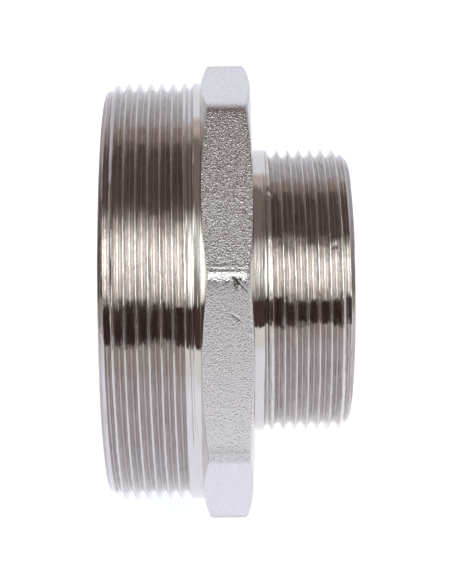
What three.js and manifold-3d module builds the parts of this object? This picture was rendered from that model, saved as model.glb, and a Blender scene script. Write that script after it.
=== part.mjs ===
// Reducing nipple for 3 inch and 2 inch pipe: one nickel-plated brass forging with a large
// male thread, an octagonal wrench collar and a small male thread.
//
// Millimetres. The bore runs along X with the large end at -X, and the origin is on the
// bore axis midway between the two end faces. One flat of the octagon faces straight up
// (+Z) and the opposite one straight down, so the piece lies on a flat.
//
// The forging is cut into its three regions, which meet face to face: on the plane where the
// collar begins, and on one just past the flat shoulder where it ends.

import * as THREE from 'three';
import { mergeVertices } from 'three/addons/utils/BufferGeometryUtils.js';
import Module from 'manifold-3d';

// Lengths along the bore
const OVERALL_LENGTH = 50;
const LARGE_END_X = -OVERALL_LENGTH / 2;
const SMALL_END_X = OVERALL_LENGTH / 2;
const COLLAR_LARGE_SIDE_X = -5.5;
const SHOULDER_X = 4.7;
const COLLAR_SMALL_SIDE_X = 5.2;

// Parallel pipe thread: 55 degree form, 11 threads per inch on both ends
const PITCH = 25.4 / 11;
const FLANK_ANGLE = THREE.MathUtils.degToRad(27.5);
const THREAD_DEPTH = 0.640327 * PITCH;
const TRIANGLE_HEIGHT = 0.960491 * PITCH;
const ROOT_FLAT = PITCH * (TRIANGLE_HEIGHT - THREAD_DEPTH) / 2 / TRIANGLE_HEIGHT;
const CUTTER_CLEARANCE = 0.25;

// The last groove of each thread climbs out of the metal over most of a turn
const RUNOUT_TURNS = 0.92;
const RUNOUT_POWER = 2.2;

// Octagonal collar
const ACROSS_FLATS = 89.5;
const CORNER_RADIUS = 3.6;
const SIDES = 8;
const COLLAR_CORNER = ACROSS_FLATS / 2 / Math.cos(Math.PI / SIDES);
const CHAMFER_ANGLE = THREE.MathUtils.degToRad(19);
const SHOULDER_RADIUS = 45;
const SHOULDER_CHAMFER_ANGLE = THREE.MathUtils.degToRad(16);

// Flow passage: a wide socket behind the large thread, then a web bored for the small one
const MOUTH_CHAMFER = 0.8;
const SOCKET_FLOOR_X = -0.5;
const SOCKET_CORNER = 2.5;
const WEB_CHAMFER = 1;

// Segments of a full turn; every lathe and helix step falls on the same angles
const SEGMENTS = 48;
const CORNER_SEGMENTS = 4;

// `groovePhase` is where a groove crosses the +Y side of the thread, measured along X.
// `fullTurn` is the turn, counted from that crossing, where the groove starts to climb out.
// `towardsCollar` is the sense of turning that leads to the collar.
const LARGE_THREAD = {
  radius: 87.884 / 2,
  endRadius: 42.1,
  endChamfer: 2.8,
  boreRadius: 39,
  groovePhase: -8.24,
  fullTurn: -0.325,
  towardsCollar: 1,
};
const SMALL_THREAD = {
  radius: 59.614 / 2,
  endRadius: 27.6,
  endChamfer: 2.3,
  boreRadius: 25,
  groovePhase: 8.67,
  fullTurn: 0.208,
  towardsCollar: -1,
};

const NICKEL = { metalness: 1, color: 0xc9c4bd };
const turnedNickel = new THREE.MeshStandardMaterial({ ...NICKEL, roughness: 0.22 });
const forgedNickel = new THREE.MeshStandardMaterial({ ...NICKEL, roughness: 0.42 });

const wasm = await Module();
wasm.setup();

function toManifold(geometry) {
  const bare = geometry.clone();
  bare.deleteAttribute('normal');
  bare.deleteAttribute('uv');
  const merged = mergeVertices(bare, 1e-4);
  return new wasm.Manifold(new wasm.Mesh({
    numProp: 3,
    vertProperties: new Float32Array(merged.attributes.position.array),
    triVerts: new Uint32Array(merged.index.array),
  }));
}

function toMesh(name, solid, material) {
  const { vertProperties, triVerts } = solid.getMesh();
  const geometry = new THREE.BufferGeometry();
  geometry.setAttribute('position', new THREE.BufferAttribute(vertProperties, 3));
  geometry.setIndex(new THREE.BufferAttribute(triVerts, 1));
  geometry.computeVertexNormals();
  const mesh = new THREE.Mesh(geometry, material);
  mesh.name = name;
  return mesh;
}

// A ring turned about the X axis. `profile` lists [x, radius] around the section, outside
// towards +X and inside back again.
function turnedRing(profile) {
  const closed = [...profile, profile[0]];
  const points = closed.map(([x, radius]) => new THREE.Vector2(radius, x));
  const ring = new THREE.LatheGeometry(points, SEGMENTS);
  ring.rotateZ(-Math.PI / 2);
  return toManifold(ring);
}

// How far the groove has climbed out of the metal at a given turn
function runoutLift(thread, turn) {
  const past = (turn - thread.fullTurn) * thread.towardsCollar / RUNOUT_TURNS;
  return THREAD_DEPTH * THREE.MathUtils.clamp(past, 0, 1) ** RUNOUT_POWER;
}

// The metal that the threading tool takes away: a flat-bottomed V wound into a helix, from
// one pitch outside the mouth to the end of the run-out.
function threadGroove(thread, mouthX) {
  const outside = mouthX - thread.towardsCollar * PITCH;
  const mouthTurn = (outside - thread.groovePhase) / PITCH;
  const goneTurn = thread.fullTurn + thread.towardsCollar * RUNOUT_TURNS;
  const first = Math.floor(Math.min(mouthTurn, goneTurn) * SEGMENTS);
  const last = Math.ceil(Math.max(mouthTurn, goneTurn) * SEGMENTS);

  const bottom = ROOT_FLAT / 2;
  const top = bottom + (THREAD_DEPTH + CUTTER_CLEARANCE) * Math.tan(FLANK_ANGLE);
  const section = new THREE.Shape([
    new THREE.Vector2(-bottom, -THREAD_DEPTH),
    new THREE.Vector2(bottom, -THREAD_DEPTH),
    new THREE.Vector2(top, CUTTER_CLEARANCE),
    new THREE.Vector2(-top, CUTTER_CLEARANCE),
  ]);
  const steps = last - first;
  const groove = new THREE.ExtrudeGeometry(section, { steps, depth: steps, bevelEnabled: false });

  const position = groove.attributes.position;
  for (let i = 0; i < position.count; i++) {
    const turn = (first + position.getZ(i)) / SEGMENTS;
    const angle = turn * 2 * Math.PI;
    const radius = thread.radius + position.getY(i) + runoutLift(thread, turn);
    const x = thread.groovePhase + turn * PITCH + position.getX(i);
    position.setXYZ(i, x, radius * Math.cos(angle), radius * Math.sin(angle));
  }
  return toManifold(groove);
}

// A threaded spigot between its mouth and the collar, plain for the last stretch
function spigotProfile(thread, mouthX, collarX) {
  const inwards = thread.towardsCollar;
  const outside = [
    [mouthX, thread.endRadius],
    [mouthX + inwards * thread.endChamfer, thread.radius],
    [collarX, thread.radius],
  ];
  const inside = [
    [collarX, thread.boreRadius],
    [mouthX + inwards * MOUTH_CHAMFER, thread.boreRadius],
    [mouthX, thread.boreRadius + MOUTH_CHAMFER],
  ];
  const profile = [...outside, ...inside];
  return inwards > 0 ? profile : profile.reverse();
}

function makeSpigot(name, thread, mouthX, collarX) {
  const blank = turnedRing(spigotProfile(thread, mouthX, collarX));
  return toMesh(name, blank.subtract(threadGroove(thread, mouthX)), turnedNickel);
}

// Regular octagon with rounded corners, flats facing +Y and +Z
function octagon() {
  const apothem = ACROSS_FLATS / 2;
  const centreDistance = COLLAR_CORNER - CORNER_RADIUS / Math.cos(Math.PI / SIDES);
  const half = Math.PI / SIDES;
  const shape = new THREE.Shape();
  shape.moveTo(apothem, 0);
  for (let side = 0; side < SIDES; side++) {
    const corner = (2 * side + 1) * half;
    const cx = centreDistance * Math.cos(corner);
    const cy = centreDistance * Math.sin(corner);
    shape.absarc(cx, cy, CORNER_RADIUS, corner - half, corner + half, false);
  }
  return shape;
}

// The octagon prism, trimmed by a turned body that carries both chamfers and the passage
function makeCollar(name) {
  const width = COLLAR_SMALL_SIDE_X - COLLAR_LARGE_SIDE_X;
  const options = { depth: width, steps: 1, bevelEnabled: false, curveSegments: CORNER_SEGMENTS };
  const prism = new THREE.ExtrudeGeometry(octagon(), options);
  prism.rotateY(Math.PI / 2);
  prism.translate(COLLAR_LARGE_SIDE_X, 0, 0);

  const largeRise = (COLLAR_CORNER - LARGE_THREAD.radius) * Math.tan(CHAMFER_ANGLE);
  const smallRise = (COLLAR_CORNER - SHOULDER_RADIUS) * Math.tan(SHOULDER_CHAMFER_ANGLE);
  const turned = turnedRing([
    [COLLAR_LARGE_SIDE_X, LARGE_THREAD.radius],
    [COLLAR_LARGE_SIDE_X + largeRise, COLLAR_CORNER],
    [SHOULDER_X - smallRise, COLLAR_CORNER],
    [SHOULDER_X, SHOULDER_RADIUS],
    [SHOULDER_X, SMALL_THREAD.radius],
    [COLLAR_SMALL_SIDE_X, SMALL_THREAD.radius],
    [COLLAR_SMALL_SIDE_X, SMALL_THREAD.boreRadius],
    [SOCKET_FLOOR_X + WEB_CHAMFER, SMALL_THREAD.boreRadius],
    [SOCKET_FLOOR_X, SMALL_THREAD.boreRadius + WEB_CHAMFER],
    [SOCKET_FLOOR_X, LARGE_THREAD.boreRadius - SOCKET_CORNER],
    [SOCKET_FLOOR_X - SOCKET_CORNER, LARGE_THREAD.boreRadius],
    [COLLAR_LARGE_SIDE_X, LARGE_THREAD.boreRadius],
  ]);
  return toMesh(name, toManifold(prism).intersect(turned), forgedNickel);
}

const nipple = new THREE.Group();
nipple.add(
  makeSpigot('large_threaded_spigot', LARGE_THREAD, LARGE_END_X, COLLAR_LARGE_SIDE_X),
  makeCollar('wrench_collar'),
  makeSpigot('small_threaded_spigot', SMALL_THREAD, SMALL_END_X, COLLAR_SMALL_SIDE_X),
);

export default nipple;
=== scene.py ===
"""Looks of the 3 inch by 2 inch reducing nipple: nickel-plated brass, bright turned threads
either side of a grainy octagonal wrench collar.

Metres. The bore runs along X, large end at -X, origin on the axis midway between the ends.
Angles round the axis are measured from +Y towards +Z.
"""

import math

import bpy
import numpy as np
from mathutils import Matrix, Vector, noise


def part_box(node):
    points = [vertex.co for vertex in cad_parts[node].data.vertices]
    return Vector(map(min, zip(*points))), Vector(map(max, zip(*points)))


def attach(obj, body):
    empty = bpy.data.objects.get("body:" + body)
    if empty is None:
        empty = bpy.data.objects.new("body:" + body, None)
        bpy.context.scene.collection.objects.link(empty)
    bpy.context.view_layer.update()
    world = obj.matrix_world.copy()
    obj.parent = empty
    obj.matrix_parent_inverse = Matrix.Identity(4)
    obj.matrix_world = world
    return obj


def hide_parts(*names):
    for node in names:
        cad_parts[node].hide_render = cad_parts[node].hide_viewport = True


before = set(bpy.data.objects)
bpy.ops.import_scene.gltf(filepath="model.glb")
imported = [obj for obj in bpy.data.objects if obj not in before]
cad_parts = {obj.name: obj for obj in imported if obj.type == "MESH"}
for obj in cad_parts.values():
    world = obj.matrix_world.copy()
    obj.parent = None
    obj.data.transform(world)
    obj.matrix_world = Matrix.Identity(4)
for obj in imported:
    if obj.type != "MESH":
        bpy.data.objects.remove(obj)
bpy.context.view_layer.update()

MM = 0.001

LARGE_SPIGOT_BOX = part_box("large_threaded_spigot")
SMALL_SPIGOT_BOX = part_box("small_threaded_spigot")
COLLAR_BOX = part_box("wrench_collar")
LARGE_END_X = LARGE_SPIGOT_BOX[0].x
SMALL_END_X = SMALL_SPIGOT_BOX[1].x
COLLAR_LARGE_SIDE_X = COLLAR_BOX[0].x
FLOOR_Z = COLLAR_BOX[0].z

# Parallel pipe thread, 55 degree Whitworth form, 11 threads per inch, cut with a keen crest
PITCH = 25.4 / 11 * MM
FLANK_ANGLE = math.radians(27.5)
CREST_ROUNDING = 0.2 * MM
ROOT_ROUNDING = 0.34 * MM
ARC_SWEEP = math.pi / 2 - FLANK_ANGLE
CREST_HALF_WIDTH = CREST_ROUNDING * math.sin(ARC_SWEEP)
ROOT_HALF_WIDTH = ROOT_ROUNDING * math.sin(ARC_SWEEP)
TRUNCATION = 1 / math.sin(FLANK_ANGLE) - 1
THREAD_DEPTH = PITCH / 2 / math.tan(FLANK_ANGLE) - TRUNCATION * (CREST_ROUNDING + ROOT_ROUNDING)
ARC_STEPS = 4
FLANK_STEPS = 3

# Over its last turn the groove climbs out of the metal, slowly at first
RUNOUT_TURNS = 0.92
RUNOUT_POWER = 2.2

# Collar
ACROSS_FLATS = COLLAR_BOX[1].z - COLLAR_BOX[0].z
SIDES = 8
CORNER_RADIUS = 3.6 * MM
CHAMFER_ANGLE = math.radians(19)
SHOULDER_X = 4.7 * MM
SHOULDER_RADIUS = 44.2 * MM
SHOULDER_CHAMFER_ANGLE = math.radians(14)
COLLAR_COLUMNS = 1400
FLAT_ROWS = 48
OUTLINE_SAMPLES = 40001

# Rounding between the flats and the chamfers, and what is added to it on the corners: on the
# large side only those underneath, on the small side all of them
LARGE_SIDE_EDGE = 0.12 * MM
LARGE_SIDE_LOW_CORNERS = 0.5 * MM
SMALL_SIDE_EDGE = 0.25 * MM
SMALL_SIDE_CORNERS = 0.8 * MM

# The spigots run this far into the collar, so that no seam shows between the regions
BURIED = 0.3 * MM

# The plain lands between the threads and the collar, and how softly they begin
LANDS = ((-8.2 * MM, COLLAR_LARGE_SIDE_X), (SHOULDER_X, 7.6 * MM))
LAND_FADE = 0.2 * MM

# Grain of the forged skin on the wrench flats. It is finer along the bore than across it, and
# CORNER_GRAIN is how much higher it stands on the corners.
GRAIN_PER_MM = 2.1
GRAIN_HEIGHT = 0.004 * MM
GRAIN_SQUEEZE = 1.7
CORNER_GRAIN = 6.5

# Scratches and pits in the forged skin: start x, start angle, end x, end angle (mm, degrees),
# then half width and depth (mm). A negative depth stands proud. The last four are made up, for
# the side that the photo doesn't show.
FLAT_MARKS = [
    (-2.2, 164.6, 0.4, 166.1, 0.13, 0.035),
    (0.4, 166.1, 1.9, 167.5, 0.15, 0.08),
    (0.6, 157.7, 0.8, 157.8, 0.2, 0.12),
    (1.1, 158.1, 1.3, 158.3, 0.3, 0.2),
    (1.5, 158.8, 1.7, 159.0, 0.28, 0.18),
    (0.9, 159.0, 1.0, 159.1, 0.2, 0.14),
    (1.9, 158.0, 2.0, 158.1, 0.2, 0.14),
    (1.2, 159.7, 1.3, 159.9, 0.18, 0.12),
    (2.0, 159.2, 3.3, 160.8, 0.12, 0.12),
    (-3.6, 155.7, 3.4, 155.8, 0.2, 0.04),
    (-3.6, 155.0, 3.4, 155.1, 0.22, -0.03),
    (0.2, 128.3, 0.9, 129.0, 0.14, -0.05),
    (1.2, 137.2, 2.3, 138.4, 0.16, -0.04),
    (2.9, 140.3, 3.1, 140.9, 0.35, 0.05),
    (3.6, 170.4, 3.9, 170.8, 0.3, -0.06),
    (-3.2, 143.0, -2.6, 143.5, 0.2, -0.04),
    (-1.5, 30.0, 1.8, 33.0, 0.13, 0.04),
    (0.5, 250.0, 2.2, 247.0, 0.15, 0.05),
    (-2.0, 290.0, 0.6, 291.5, 0.12, 0.04),
    (1.8, 340.0, 2.4, 341.5, 0.3, 0.06),
]

# Marks this deep (mm) hold enough dirt to look black
DIRTY_DEPTH = 0.08

# Nicks in the threads: x, angle (mm, degrees), half width and height (mm). Along the bore a
# nick is NICK_SHARE of its width round the thread. Those below 70 or above 250 degrees are
# made up.
NICK_SHARE = 0.6
LARGE_NICKS = [(-8.9, 170.6, 0.3, -0.3), (-21.7, 205.5, 0.4, -0.4), (-9.4, 216.5, 0.35, -0.3),
               (-15.2, 60.0, 0.35, -0.3), (-19.5, 285.0, 0.35, -0.3)]
SMALL_NICKS = [(21.3, 142.5, 0.2, -0.16), (8.4, 119.0, 0.35, -0.3), (8.6, 207.5, 0.35, -0.3),
               (22.0, 181.0, 0.25, -0.2), (16.0, 20.0, 0.35, -0.3)]

# groove_phase is where a groove crosses the +Y side, measured along X. full_turn is the turn,
# counted from there, where the groove starts to climb out. towards_collar is the sense of
# turning, and the way along X, that leads to the collar.
LARGE_THREAD = {
    "radius": 87.884 / 2 * MM,
    "end_radius": 42.1 * MM,
    "end_chamfer": 2.8 * MM,
    "bore_radius": 39 * MM,
    "groove_phase": -8.24 * MM,
    "full_turn": -0.325,
    "towards_collar": 1,
    "nicks": LARGE_NICKS,
}
SMALL_THREAD = {
    "radius": 59.614 / 2 * MM,
    "end_radius": 27.6 * MM,
    "end_chamfer": 2.3 * MM,
    "bore_radius": 25 * MM,
    "groove_phase": 8.67 * MM,
    "full_turn": 0.208,
    "towards_collar": -1,
    "nicks": SMALL_NICKS,
}
MOUTH_CHAMFER = 0.8 * MM
END_ROUNDING = 0.6 * MM
SPIGOT_COLUMNS = 384

# Anything this many thread depths below the crests is in the bore
BORE_DEPTHS = 1.6

# The web inside the collar, and two rings of the shoulder: half way in, and under the spigot
SOCKET_FLOOR_X = -0.5 * MM
SOCKET_CORNER = 2.5 * MM
WEB_CHAMFER = 1 * MM
SHOULDER_MIDDLE_RADIUS = 38 * MM
UNDER_SPIGOT = 1.5 * MM


# Edges sharper than this stay crisp
SHARP_ANGLE = math.radians(35)

# Relief too fine for the meshes. Turned: marks and waves on the threads, scratches on the
# lands, and how far a ring leans out of true, as a slope. Forged: craters, and facets between.
MARK_HEIGHT = 0.1 * MM
WAVE_HEIGHT = 0.12 * MM
SCRATCH_HEIGHT = 0.027 * MM
RING_LEAN = 0.12
CRATER_DEPTH = 0.068 * MM
FACET_HEIGHT = 0.05 * MM


# ---------------------------------------------------------------- meshes

def add_values(piece, name, values):
    """A number on every vertex, which the piece's materials read by this name."""
    piece.data.attributes.new(name, "FLOAT", "POINT").data.foreach_set("value", values)


def mesh_object(name, vertices, faces, material_of_face=None):
    """A mesh object, smooth shaded but for its sharp edges."""
    mesh = bpy.data.meshes.new(name)
    mesh.from_pydata([tuple(v) for v in vertices], [], faces)
    if material_of_face is not None:
        mesh.polygons.foreach_set("material_index", material_of_face)
    mesh.validate()
    mesh.shade_smooth()
    mesh.set_sharp_from_angle(angle=SHARP_ANGLE)
    piece = bpy.data.objects.new(name, mesh)
    bpy.context.scene.collection.objects.link(piece)
    return piece


def ring_faces(rings):
    """Quads between successive closed rings of vertex indices."""
    faces = []
    for near, far in zip(rings, rings[1:]):
        count = len(near)
        for k in range(count):
            after = (k + 1) % count
            faces.append((near[k], near[after], far[after], far[k]))
    return faces


# ---------------------------------------------------------------- threads

def groove_rows():
    """Offsets from a groove's centre line, over one pitch, where the thread form is sampled:
    close together round the root and the crest, sparse along the straight flanks."""
    sweep = [math.sin(ARC_SWEEP * i / ARC_STEPS) for i in range(ARC_STEPS + 1)]
    root = [ROOT_ROUNDING * share for share in sweep]
    crest = [PITCH / 2 - CREST_ROUNDING * share for share in reversed(sweep)]
    flank = list(np.linspace(root[-1], crest[0], FLANK_STEPS + 1)[1:-1])
    half = root + flank + crest
    return sorted(half + [PITCH - offset for offset in half[1:-1]])


def form_depth(offset):
    """Thread form: how far below the crest the surface is, this far from a groove's centre."""
    t = np.abs(offset)
    from_crest = PITCH / 2 - t
    root = THREAD_DEPTH - ROOT_ROUNDING + np.sqrt(np.maximum(ROOT_ROUNDING**2 - t**2, 0))
    crest = CREST_ROUNDING - np.sqrt(np.maximum(CREST_ROUNDING**2 - from_crest**2, 0))
    flank = from_crest / math.tan(FLANK_ANGLE) - TRUNCATION * CREST_ROUNDING
    depth = np.where(t < ROOT_HALF_WIDTH, root,
                     np.where(from_crest < CREST_HALF_WIDTH, crest, flank))
    return np.where(t > PITCH / 2, 0, depth)


def runout_lift(thread, turn):
    """How far the groove has climbed out of the metal at a given turn."""
    past = (turn - thread["full_turn"]) * thread["towards_collar"] / RUNOUT_TURNS
    return THREAD_DEPTH * np.clip(past, 0, 1) ** RUNOUT_POWER


def thread_radius(thread, mouth_x, x, angle):
    """Radius of the threaded spigot's outside at x and angle (arrays), from the deepest of the
    three nearest grooves and the cone at the mouth."""
    turn_here = angle / (2 * math.pi)
    nearest = np.round((x - thread["groove_phase"]) / PITCH - turn_here)
    deepest = np.zeros_like(x)
    for step in (-1, 0, 1):
        turn = nearest + step + turn_here
        offset = x - thread["groove_phase"] - turn * PITCH
        lift = runout_lift(thread, turn)
        deepest = np.maximum(deepest, form_depth(offset) - lift)
    return np.minimum(thread["radius"] - deepest, mouth_radius(thread, np.abs(x - mouth_x)))


def mouth_radius(thread, inside):
    """Radius of the cone at the mouth, this far inside the end face, with its rim rounded."""
    slope = math.atan2(thread["radius"] - thread["end_radius"], thread["end_chamfer"])
    cone = thread["end_radius"] + inside * math.tan(slope)
    tangent = END_ROUNDING * (1 - math.sin(slope))
    centre = thread["end_radius"] + tangent * math.tan(slope) - END_ROUNDING * math.cos(slope)
    arc = centre + np.sqrt(np.maximum(END_ROUNDING**2 - (END_ROUNDING - inside) ** 2, 0))
    return np.where(inside < tangent, arc, cone)


def helix_grid(thread, mouth_x, low, high, angles):
    """x and radius of the threaded surface: a row for each step along the thread form, and a
    column for each angle. Rows follow the helix and reach past both ends."""
    pattern = np.array(groove_rows())
    first = math.floor((low - thread["groove_phase"]) / PITCH) - 2
    pitches = math.ceil((high - low) / PITCH) + 4
    offsets = np.concatenate([pattern + (first + i) * PITCH for i in range(pitches)])
    x = thread["groove_phase"] + offsets[:, None] + angles / (2 * math.pi) * PITCH
    radius = thread_radius(thread, mouth_x, np.clip(x, low, high),
                           np.broadcast_to(angles, x.shape))
    for nick_x, nick_angle, half_width, height in thread["nicks"]:
        around = (angles - math.radians(nick_angle)) * thread["radius"]
        spread = np.hypot(x - nick_x * MM, around * NICK_SHARE) / (half_width * MM)
        radius += height * MM * np.exp(-spread**2)
    return x, np.minimum(radius, thread["radius"])


def helix_faces(index):
    """Faces between the rows of a helix_grid's vertex indices. One turn further round, every
    row continues as the row one pitch further on."""
    rows, columns = index.shape
    per_pitch = len(groove_rows())
    faces = []
    for j in range(rows - 1):
        for k in range(columns):
            wraps = k == columns - 1
            near, far = (j + per_pitch, j + 1 + per_pitch) if wraps else (j, j + 1)
            if far >= rows:
                continue
            after = 0 if wraps else k + 1
            loop = (index[j, k], index[near, after], index[far, after], index[j + 1, k])
            loop = [int(v) for i, v in enumerate(loop) if v != loop[i - 1]]
            if len(set(loop)) > 2:
                faces.append(tuple(loop))
    return faces


def make_spigot(name, thread, mouth_x, collar_x):
    """A closed threaded spigot. Crests and roots stay smooth all the way round, because the
    rows of vertices follow the helix; rows that run past an end stop on that end's ring."""
    inwards = thread["towards_collar"]
    buried_x = collar_x + inwards * BURIED
    low, high = min(mouth_x, buried_x), max(mouth_x, buried_x)
    columns = SPIGOT_COLUMNS
    angles = np.arange(columns) * 2 * math.pi / columns
    vertices = []

    def add_ring(ring_x, ring_radius):
        start = len(vertices)
        ring_radius = np.broadcast_to(ring_radius, (columns,))
        vertices.extend(zip(np.full(columns, ring_x), ring_radius * np.cos(angles),
                            ring_radius * np.sin(angles)))
        return list(range(start, start + columns))

    ends = {}
    for end_x in (low, high):
        at_end = np.full(columns, end_x)
        ends[end_x] = add_ring(end_x, thread_radius(thread, mouth_x, at_end, angles))

    x, radius = helix_grid(thread, mouth_x, low, high, angles)
    inside = (x > low) & (x < high)
    index = np.where(x <= low, ends[low], ends[high])
    start = len(vertices)
    index[inside] = np.arange(start, start + inside.sum())
    around = np.broadcast_to(angles, x.shape)[inside]
    vertices.extend(zip(x[inside], radius[inside] * np.cos(around),
                        radius[inside] * np.sin(around)))

    bore = thread["bore_radius"]
    mouth_rings = [ends[mouth_x], add_ring(mouth_x, bore + MOUTH_CHAMFER),
                   add_ring(mouth_x + inwards * MOUTH_CHAMFER, bore)]
    for share in (0.25, 0.5, 0.75):
        mouth_rings.append(add_ring(mouth_x + (buried_x - mouth_x) * share, bore))
    mouth_rings += [add_ring(buried_x, bore), ends[buried_x]]
    if inwards < 0:
        mouth_rings.reverse()
    faces = helix_faces(index) + [face[::-1] for face in ring_faces(mouth_rings)]
    piece = mesh_object(name, vertices, faces)
    add_values(piece, "groove_depth", groove_depth(thread, mouth_x, np.array(vertices)))
    return piece


def groove_depth(thread, mouth_x, places):
    """0 on the crests and the end face, 1 in the roots and -1 in the bore."""
    below_crest = thread["radius"] - np.hypot(places[:, 1], places[:, 2])
    depth = np.clip(below_crest / THREAD_DEPTH, 0, 1)
    depth[places[:, 0] == mouth_x] = 0
    depth[below_crest > BORE_DEPTHS * THREAD_DEPTH] = -1
    return depth


# ---------------------------------------------------------------- collar

def octagon_radius(angle):
    """Distance from the axis to the rounded octagon, flats facing +Y and +Z."""
    half = math.pi / SIDES
    from_flat = (angle + half) % (2 * half) - half
    apothem = ACROSS_FLATS / 2
    straight = apothem / np.cos(from_flat)
    centre = (apothem - CORNER_RADIUS) / math.cos(half)
    from_corner = half - np.abs(from_flat)
    reach = centre * np.sin(from_corner)
    rounded = centre * np.cos(from_corner) + np.sqrt(np.maximum(CORNER_RADIUS**2 - reach**2, 0))
    tangent = math.atan2(centre * math.sin(half), apothem)
    return np.where(np.abs(from_flat) > tangent, rounded, straight)


def collar_angles(count):
    """Angles evenly spaced along the octagon's outline."""
    fine = np.linspace(0, 2 * math.pi, OUTLINE_SAMPLES)
    radius = octagon_radius(fine)
    outline = np.stack([radius * np.cos(fine), radius * np.sin(fine)], 1)
    length = np.concatenate([[0], np.cumsum(np.linalg.norm(np.diff(outline, axis=0), axis=1))])
    return np.interp(np.arange(count) * length[-1] / count, length, fine)


def rounded_edge(x, radius, rounding, cone_angle, towards, steps):
    """Rings of the rounded edge between a wrench flat and a chamfer cone whose surface lies
    cone_angle off the face plane. x and radius are where the two would meet, and towards is
    the sign of the chamfer's side."""
    sweep = math.pi / 2 - cone_angle
    setback = rounding * math.tan(sweep / 2)
    rings = []
    for share in np.linspace(0, 1, steps + 1):
        turn = sweep * share
        rings.append((x - towards * (setback - rounding * math.sin(turn)),
                      radius - rounding * (1 - math.cos(turn))))
    return rings


def collar_profile(outer, towards_corner, angles):
    """The collar's closed profile as rings of x and radius, each a number or one for every
    angle. The forged rings come with their first and last place in it."""
    left, right = COLLAR_LARGE_SIDE_X, SHOULDER_X
    land, socket = LARGE_THREAD["radius"], LARGE_THREAD["bore_radius"]
    bore = SMALL_THREAD["bore_radius"]
    underside = np.clip(-np.sin(angles), 0, 1)
    left_edge = LARGE_SIDE_EDGE + LARGE_SIDE_LOW_CORNERS * towards_corner * underside
    right_edge = SMALL_SIDE_EDGE + SMALL_SIDE_CORNERS * towards_corner
    left_x = left + (outer - land) * math.tan(CHAMFER_ANGLE)
    right_x = right - (outer - SHOULDER_RADIUS) * math.tan(SHOULDER_CHAMFER_ANGLE)
    left_rings = rounded_edge(left_x, outer, left_edge, CHAMFER_ANGLE, -1, steps=3)
    right_rings = rounded_edge(right_x, outer, right_edge, SHOULDER_CHAMFER_ANGLE, 1, steps=5)
    start, stop = left_rings[0][0], right_rings[0][0]
    flat_rings = [(start + (stop - start) * share, outer)
                  for share in np.linspace(0, 1, FLAT_ROWS + 1)[1:-1]]

    forged = left_rings[::-1] + flat_rings + right_rings
    turned_start = [(left, socket), (left, land)]
    turned_end = [
        (right, SHOULDER_RADIUS),
        (right, SHOULDER_MIDDLE_RADIUS),
        (right, SMALL_THREAD["radius"] - UNDER_SPIGOT),
        (right, bore),
        (SOCKET_FLOOR_X + WEB_CHAMFER, bore),
        (SOCKET_FLOOR_X, bore + WEB_CHAMFER),
        (SOCKET_FLOOR_X, socket - SOCKET_CORNER),
        (SOCKET_FLOOR_X - SOCKET_CORNER, socket),
    ]
    first = len(turned_start)
    return turned_start + forged + turned_end, first, first + len(forged) - 1


def make_collar(name):
    """The octagon with both turned chamfers, the flat shoulder and the web inside. Flats are
    material 0 and turned faces material 1."""
    angles = collar_angles(COLLAR_COLUMNS)
    outer = octagon_radius(angles)
    towards_corner = (outer - ACROSS_FLATS / 2) / (outer.max() - ACROSS_FLATS / 2)
    profile, forged_from, forged_to = collar_profile(outer, towards_corner, angles)
    vertices, rings, wear, dirt = [], [], [], []
    for place, (x, radius) in enumerate(profile):
        x = np.broadcast_to(x, angles.shape)
        ring_dirt = np.zeros(COLLAR_COLUMNS)
        if forged_from <= place <= forged_to:
            relief, ring_dirt = forged_relief(x, radius, angles, towards_corner)
            radius = radius + relief
        wear.extend(towards_corner)
        dirt.extend(ring_dirt)
        rings.append(list(range(len(vertices), len(vertices) + COLLAR_COLUMNS)))
        vertices.extend(zip(x, radius * np.cos(angles), radius * np.sin(angles)))
    rings.append(rings[0])
    material_of_face = np.ones(COLLAR_COLUMNS * len(profile), np.int32)
    material_of_face[COLLAR_COLUMNS * forged_from:COLLAR_COLUMNS * forged_to] = 0
    piece = mesh_object(name, vertices, ring_faces(rings), material_of_face=material_of_face)
    add_values(piece, "corner_wear", wear)
    add_values(piece, "dirt", dirt)
    return piece


def forged_relief(x, radius, angles, towards_corner):
    """Height of the forged skin's grain and marks, in metres, along one ring of the collar,
    and how dirty the marks are."""
    height = np.empty(len(angles))
    for k, (along, out, angle) in enumerate(zip(x, radius, angles)):
        place = (along * GRAIN_SQUEEZE, out * math.cos(angle), out * math.sin(angle))
        height[k] = noise.noise(Vector(place) * GRAIN_PER_MM / MM)
    height *= GRAIN_HEIGHT * (1 + CORNER_GRAIN * towards_corner**2)
    dirt = np.zeros(len(angles))
    for start_x, start_angle, end_x, end_angle, half_width, depth in FLAT_MARKS:
        start = np.array([start_x * MM, math.radians(start_angle) * ACROSS_FLATS / 2])
        stretch = np.array([end_x * MM, math.radians(end_angle) * ACROSS_FLATS / 2]) - start
        away = np.stack([x, angles * ACROSS_FLATS / 2], 1) - start
        share = np.clip(away @ stretch / (stretch @ stretch), 0, 1)
        distance = np.linalg.norm(away - share[:, None] * stretch, axis=1)
        mark = np.exp(-((distance / (half_width * MM)) ** 2))
        height -= depth * MM * mark
        dirt = np.maximum(dirt, mark * max(depth, 0) / DIRTY_DEPTH)
    return height, dirt


# ---------------------------------------------------------------- materials

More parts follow.
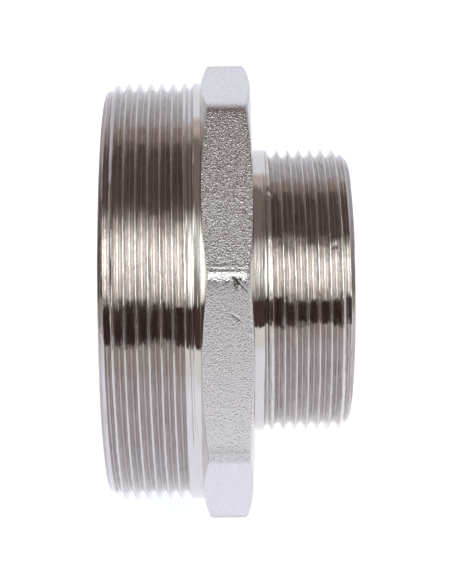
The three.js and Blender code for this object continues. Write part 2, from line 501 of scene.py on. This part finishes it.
class Nodes:
    """Short calls for building one node tree."""

    def __init__(self, tree):
        self.tree = tree

    def add(self, kind, **settings):
        node = self.tree.nodes.new(kind)
        for key, value in settings.items():
            setattr(node, key, value)
        return node

    def link(self, source, target):
        self.tree.links.new(source, target)

    def feed(self, socket, value):
        """Give a socket a colour, a number or another node's output."""
        if isinstance(value, tuple):
            socket.default_value = (*value, 1)
        elif isinstance(value, (int, float)):
            socket.default_value = value
        else:
            self.link(value, socket)

    def math(self, operation, *values):
        node = self.add("ShaderNodeMath", operation=operation)
        for socket, value in zip(node.inputs, values):
            self.feed(socket, value)
        return node.outputs[0]

    def place(self):
        """Where the point is on the object."""
        return self.add("ShaderNodeTexCoord").outputs["Object"]

    def split(self, vector):
        """The vector's x, y and z."""
        node = self.add("ShaderNodeSeparateXYZ")
        self.link(vector, node.inputs[0])
        return list(node.outputs)

    def value_of(self, name):
        """A number that add_values left on the mesh."""
        return self.add("ShaderNodeAttribute", attribute_name=name).outputs["Fac"]

    def ramp(self, value, stops):
        node = self.add("ShaderNodeValToRGB")
        elements = node.color_ramp.elements
        while len(elements) < len(stops):
            elements.new(0.5)
        for element, (place, colour) in zip(elements, stops):
            element.position = place
            element.color = (*colour, 1)
        self.link(value, node.inputs["Fac"])
        return node.outputs["Color"]

    def remap(self, value, low, high, to_low, to_high):
        node = self.add("ShaderNodeMapRange")
        node.inputs["From Min"].default_value = low
        node.inputs["From Max"].default_value = high
        node.inputs["To Min"].default_value = to_low
        node.inputs["To Max"].default_value = to_high
        self.link(value, node.inputs["Value"])
        return node.outputs["Result"]

    def mix(self, share, first, second, blend="MIX"):
        """Colours mixed; each of the three inputs is a socket or a constant."""
        node = self.add("ShaderNodeMix", data_type="RGBA", blend_type=blend)
        inputs = {socket.identifier: socket for socket in node.inputs}
        self.feed(inputs["Factor_Float"], share)
        self.feed(inputs["A_Color"], first)
        self.feed(inputs["B_Color"], second)
        return {socket.identifier: socket for socket in node.outputs}["Result_Color"]

    def noise(self, vector, scale, detail, roughness):
        node = self.add("ShaderNodeTexNoise")
        node.inputs["Scale"].default_value = scale
        node.inputs["Detail"].default_value = detail
        node.inputs["Roughness"].default_value = roughness
        self.link(vector, node.inputs["Vector"])
        return node.outputs["Fac"]

    def bump(self, height, distance, normal=None):
        node = self.add("ShaderNodeBump")
        node.inputs["Distance"].default_value = distance
        self.link(height, node.inputs["Height"])
        if normal is not None:
            self.link(normal, node.inputs["Normal"])
        return node.outputs["Normal"]

    def lean(self, normal, direction, amount):
        """The normal tipped towards a direction."""
        push = self.add("ShaderNodeVectorMath", operation="SCALE")
        self.link(direction, push.inputs[0])
        self.link(amount, push.inputs["Scale"])
        tipped = self.add("ShaderNodeVectorMath", operation="ADD")
        self.link(normal, tipped.inputs[0])
        self.link(push.outputs[0], tipped.inputs[1])
        unit = self.add("ShaderNodeVectorMath", operation="NORMALIZE")
        self.link(tipped.outputs[0], unit.inputs[0])
        return unit.outputs[0]


def new_material(name):
    material = bpy.data.materials.new(name)
    material.use_nodes = True
    nodes = Nodes(material.node_tree)
    return material, nodes, material.node_tree.nodes["Principled BSDF"]


def ring_marks(nodes, per_mm, per_radian, outwards, detail, roughness=0.5):
    """Noise drawn out into rings round the axis. It changes per_mm times a millimetre along
    the bore, per_radian times a radian round it, and away from the axis outwards times as fast
    as along it."""
    x, y, z = nodes.split(nodes.place())
    radius = nodes.math("SQRT", nodes.math("ADD", nodes.math("MULTIPLY", y, y),
                                           nodes.math("MULTIPLY", z, z)))
    join = nodes.add("ShaderNodeCombineXYZ")
    nodes.link(nodes.math("MULTIPLY", x, per_mm / MM), join.inputs[0])
    for socket, value in ((join.inputs[1], y), (join.inputs[2], z)):
        nodes.link(nodes.math("MULTIPLY", nodes.math("DIVIDE", value, radius), per_radian), socket)
    node = nodes.add("ShaderNodeTexNoise", noise_dimensions="4D")
    node.inputs["Scale"].default_value = 1
    node.inputs["Detail"].default_value = detail
    node.inputs["Roughness"].default_value = roughness
    nodes.link(join.outputs[0], node.inputs["Vector"])
    nodes.link(nodes.math("MULTIPLY", radius, outwards * per_mm / MM), node.inputs["W"])
    return node.outputs["Fac"]


def land_mask(nodes):
    """1 on the two plain lands beside the collar, where the turning is coarser, else 0."""
    x, _, _ = nodes.split(nodes.place())
    masks = []
    for low, high in LANDS:
        middle, half = (low + high) / 2, (high - low) / 2
        away = nodes.math("ABSOLUTE", nodes.math("SUBTRACT", x, middle))
        masks.append(nodes.remap(away, half, half + LAND_FADE, 1, 0))
    return nodes.math("ADD", *masks)


def turned_nickel(name, outwards, depth_of_marks):
    """Bright nickel over turning marks: rings of fine scratches that spread reflections along
    the bore and leave them sharp round it. The base colour is darker down in the thread roots:
    painted shade.
    outwards is for ring_marks, and depth_of_marks scales the relief."""
    material, nodes, shader = new_material(name)
    shader.inputs["Metallic"].default_value = 1
    shader.inputs["Anisotropic"].default_value = 0.9
    shader.inputs["Anisotropic Rotation"].default_value = 0.25
    round_axis = nodes.add("ShaderNodeTangent", direction_type="RADIAL", axis="X").outputs[0]
    nodes.link(round_axis, shader.inputs["Tangent"])
    land = land_mask(nodes)
    threads = nodes.math("SUBTRACT", 1.0, land)
    marks = ring_marks(nodes, 2.0, 7.0, outwards, detail=3.0, roughness=0.7)
    waves = ring_marks(nodes, 1.0, 9.0, outwards, detail=1.0)
    scratches = ring_marks(nodes, 4.2, 5.0, outwards, detail=1.0, roughness=0.6)

    on_threads = nodes.remap(marks, 0.35, 0.65, 0.06, 0.22)
    on_land = nodes.remap(scratches, 0.42, 0.58, 0.03, 0.12)
    nodes.link(nodes.math("ADD", nodes.math("MULTIPLY", on_threads, threads),
                          nodes.math("MULTIPLY", on_land, land)), shader.inputs["Roughness"])

    normal = nodes.bump(nodes.math("MULTIPLY", marks, threads), MARK_HEIGHT * depth_of_marks)
    normal = nodes.bump(nodes.math("MULTIPLY", waves, threads), WAVE_HEIGHT * depth_of_marks,
                        normal=normal)
    normal = nodes.bump(nodes.math("MULTIPLY", scratches, land), SCRATCH_HEIGHT, normal=normal)

    # No two rings are cut quite alike, so a reflection ends a little sooner on one than the next
    uneven = ring_marks(nodes, 1.9, 1.6, outwards, detail=3.0, roughness=0.7)
    lean = nodes.math("MULTIPLY", nodes.math("SUBTRACT", uneven, 0.5), RING_LEAN * depth_of_marks)
    nodes.link(nodes.lean(normal, round_axis, lean), shader.inputs["Normal"])

    # Dark scores, fainter on the lands and in the bore
    score_colour = (0.22, 0.2, 0.19)
    depth = nodes.value_of("groove_depth")
    # Nickel colour, darkened near the bottom of the thread roots as painted shade
    plating_and_root_shade = nodes.ramp(depth, [(0, (0.66, 0.63, 0.59)), (0.15, (0.64, 0.615, 0.593)),
                                 (0.8, (0.62, 0.588, 0.565)), (1, (0.45, 0.4, 0.37))])
    scores = ring_marks(nodes, 3.2, 5.0, outwards, detail=1.0)
    scored = nodes.math("MULTIPLY", nodes.remap(scores, 0.6, 0.7, 0, 0.5),
                        nodes.remap(land, 0, 1, 1, 0.3))
    scored = nodes.math("MULTIPLY", scored, nodes.remap(depth, -1, -0.5, 0.3, 1))
    nodes.link(nodes.mix(scored, plating_and_root_shade, score_colour), shader.inputs["Base Color"])
    return material


def forged_nickel():
    """Nickel over the forging's blasted skin: tiny craters and facets that sparkle, darker
    pits along the corners, and dirt in the deepest marks."""
    material, nodes, shader = new_material("forged_nickel")
    shader.inputs["Metallic"].default_value = 1
    place = nodes.place()
    squeeze = nodes.add("ShaderNodeMapping")
    squeeze.inputs["Scale"].default_value = (GRAIN_SQUEEZE, 1, 1)
    nodes.link(place, squeeze.inputs["Vector"])
    squeezed = squeeze.outputs[0]
    craters = nodes.add("ShaderNodeTexVoronoi", feature="F1")
    craters.inputs["Scale"].default_value = 3.0 / MM
    nodes.link(squeezed, craters.inputs["Vector"])
    facets = nodes.noise(squeezed, 2.6 / MM, detail=2.0, roughness=0.6)
    speckle = nodes.noise(place, 3.6 / MM, detail=2.0, roughness=0.7)
    nodes.link(nodes.remap(speckle, 0.42, 0.58, 0.04, 0.32), shader.inputs["Roughness"])
    normal = nodes.bump(craters.outputs["Distance"], CRATER_DEPTH)
    normal = nodes.bump(facets, FACET_HEIGHT, normal=normal)
    nodes.link(normal, shader.inputs["Normal"])

    skin = nodes.ramp(speckle, [(0.38, (0.58, 0.56, 0.54)), (0.5, (0.67, 0.65, 0.63)),
                                (0.62, (0.76, 0.745, 0.73))])
    pit_colour, dirt_colour = (0.16, 0.15, 0.145), (0.05, 0.04, 0.035)
    corner = nodes.value_of("corner_wear")
    pitted = nodes.math("MULTIPLY", nodes.remap(corner, 0.75, 0.95, 0, 0.55),
                        nodes.remap(speckle, 0.48, 0.56, 0, 1))
    skin = nodes.mix(pitted, skin, pit_colour)
    dirty = nodes.remap(nodes.value_of("dirt"), 0.2, 1, 0, 0.9)
    nodes.link(nodes.mix(dirty, skin, dirt_colour), shader.inputs["Base Color"])
    return material


# ---------------------------------------------------------------- studio

def band_colour(nodes, angle, stops):
    """Colours against an angle in degrees, from -180 to 180."""
    share = nodes.remap(angle, -180, 180, 0, 1)
    return nodes.ramp(share, [((degrees + 180) / 360, colour) for degrees, colour in stops])


def grey_stops(*stops):
    """Faintly cool greys for band_colour, from angles and brightnesses."""
    return [(degrees, (value * 0.97, value * 1.01, value * 1.03)) for degrees, value in stops]


def make_studio():
    """Soft studio light: a dim room with a broad softbox in front and above, and a white
    backdrop behind. Angles are elevations seen from the front, 0 level and 90 overhead. The
    camera itself sees plain white past the floor's edge."""
    world = bpy.data.worlds.new("studio")
    bpy.context.scene.world = world
    world.use_nodes = True
    nodes = Nodes(world.node_tree)
    background = world.node_tree.nodes["Background"]
    output = world.node_tree.nodes["World Output"]

    x, y, z = nodes.split(nodes.add("ShaderNodeTexCoord").outputs["Generated"])
    aside = nodes.math("ABSOLUTE", x)
    tilt = nodes.math("ARCTAN2", z, nodes.math("MULTIPLY", y, -1.0))
    degrees = nodes.math("MULTIPLY", tilt, 180 / math.pi)
    dark_band = (0.075, 0.045, 0.042)
    wall = (0.2, 0.165, 0.155)
    ceiling = (0.225, 0.185, 0.175)
    tan = (0.62, 0.54, 0.53)
    pale_side = (0.5, 0.46, 0.45)
    backdrop = (0.95, 0.97, 1.08)
    room = band_colour(nodes, degrees, [
        (-180, backdrop), (-100, backdrop), (-60, dark_band), (12, dark_band), (20, wall),
        (52, wall), (62, ceiling), (108, ceiling), (115, tan), (124, tan), (130, backdrop),
        (180, backdrop)])
    dimming = nodes.ramp(aside, [(0, (1, 1, 1)), (0.2, (1, 1, 1)), (0.4, (0.75, 0.73, 0.73)),
                                 (1, (0.65, 0.62, 0.62))])
    dimmed = nodes.mix(1, room, dimming, "MULTIPLY")

    # Low down, the room is paler far out to the sides
    low_side = nodes.math("MULTIPLY", nodes.remap(aside, 0.68, 0.8, 0, 1),
                          nodes.remap(degrees, 9, 12, 1, 0))
    room_light = nodes.mix(low_side, dimmed, pale_side)

    # The softbox: a panel in front, crisp along its lower edge, fading out at its top and
    # shaded down the middle by the camera in front of it
    panel_middle = band_colour(nodes, degrees, grey_stops(
        (11.5, 0), (12.5, 0.06), (16, 0.1), (22, 0.15), (29, 0.24), (35, 0.38), (48, 0.48),
        (52, 0.42), (58, 0.2), (62, 0)))
    panel_sides = band_colour(nodes, degrees, grey_stops(
        (11.5, 0), (13, 1.5), (16, 2.2), (22, 2.9), (29, 3.7), (35, 4), (44, 4),
        (51.5, 2.6), (58, 1.3), (61, 0.7), (68, 0)))
    beside = nodes.remap(aside, 0.11, 0.2, 0, 1)
    within = nodes.remap(aside, 0.62, 0.72, 1, 0)
    panel = nodes.mix(within, (0, 0, 0), nodes.mix(beside, panel_middle, panel_sides))
    nodes.link(nodes.mix(1, room_light, panel, "ADD"), background.inputs["Color"])

    white = nodes.add("ShaderNodeBackground")
    white.inputs["Color"].default_value = (1.2, 1.2, 1.2, 1)
    mix = nodes.add("ShaderNodeMixShader")
    rays = nodes.add("ShaderNodeLightPath")
    nodes.link(rays.outputs["Is Camera Ray"], mix.inputs["Fac"])
    nodes.link(background.outputs[0], mix.inputs[1])
    nodes.link(white.outputs[0], mix.inputs[2])
    nodes.link(mix.outputs[0], output.inputs["Surface"])


def make_floor():
    """A round pale table top that glows evenly, a little dimmer towards its front."""
    radius, sides, centre_y = 0.35, 96, 0.06
    front_y, back_y = -0.125, 0.075
    rim = [(radius * math.cos(a), centre_y + radius * math.sin(a), FLOOR_Z)
           for a in np.linspace(0, 2 * math.pi, sides, endpoint=False)]
    floor = mesh_object("floor", rim, [tuple(range(sides))])
    material, nodes, shader = new_material("pale_table")
    _, y, _ = nodes.split(nodes.place())
    glow = nodes.ramp(nodes.remap(y, front_y, back_y, 0, 1), [
        (0, (0.68, 0.67, 0.68)), (0.15, (0.84, 0.86, 1.0)), (0.5, (0.84, 0.86, 1.0)),
        (0.7, (0.95, 0.95, 0.97))])
    shader.inputs["Base Color"].default_value = (0.25, 0.25, 0.26, 1)
    shader.inputs["Roughness"].default_value = 0.9
    nodes.link(glow, shader.inputs["Emission Color"])
    shader.inputs["Emission Strength"].default_value = 1
    floor.data.materials.append(material)


def make_camera():
    """Long lens, square to the bore, looking down on it a little. The values were fitted to the
    outlines of both threads and both end rims."""
    elevation, distance, roll = math.radians(19.6), 0.3614, math.radians(0.49)
    data = bpy.data.cameras.new("camera")
    data.lens = 104.5
    data.shift_x, data.shift_y = 0.01202, -0.00248
    data.clip_start = 0.01
    camera = bpy.data.objects.new("camera", data)
    aim = Vector((-1.973 * MM, 0, 0))
    back = Vector((0, -math.cos(elevation), math.sin(elevation)))
    turn = Matrix.Rotation(math.pi / 2 - elevation, 4, "X") @ Matrix.Rotation(-roll, 4, "Z")
    camera.matrix_world = Matrix.Translation(aim + back * distance) @ turn
    bpy.context.scene.collection.objects.link(camera)
    bpy.context.scene.camera = camera


make_camera()
make_studio()
make_floor()

bpy.context.scene.view_settings.view_transform = "Standard"

turned = turned_nickel("turned_nickel", outwards=0.4, depth_of_marks=1)
faced = turned_nickel("faced_nickel", outwards=1.4, depth_of_marks=0.2)
forged = forged_nickel()
PIECES = [
    (make_spigot("large_thread_surface", LARGE_THREAD, LARGE_END_X, COLLAR_LARGE_SIDE_X),
     "large_threaded_spigot", "turned_nickel", [turned]),
    (make_collar("wrench_collar_surface"), "wrench_collar", "forged_nickel", [forged, faced]),
    (make_spigot("small_thread_surface", SMALL_THREAD, SMALL_END_X, SHOULDER_X),
     "small_threaded_spigot", "turned_nickel", [turned]),
]
for piece, node, slot, materials in PIECES:
    for material in materials:
        piece.data.materials.append(material)
    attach(piece, "root")
    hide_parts(node)
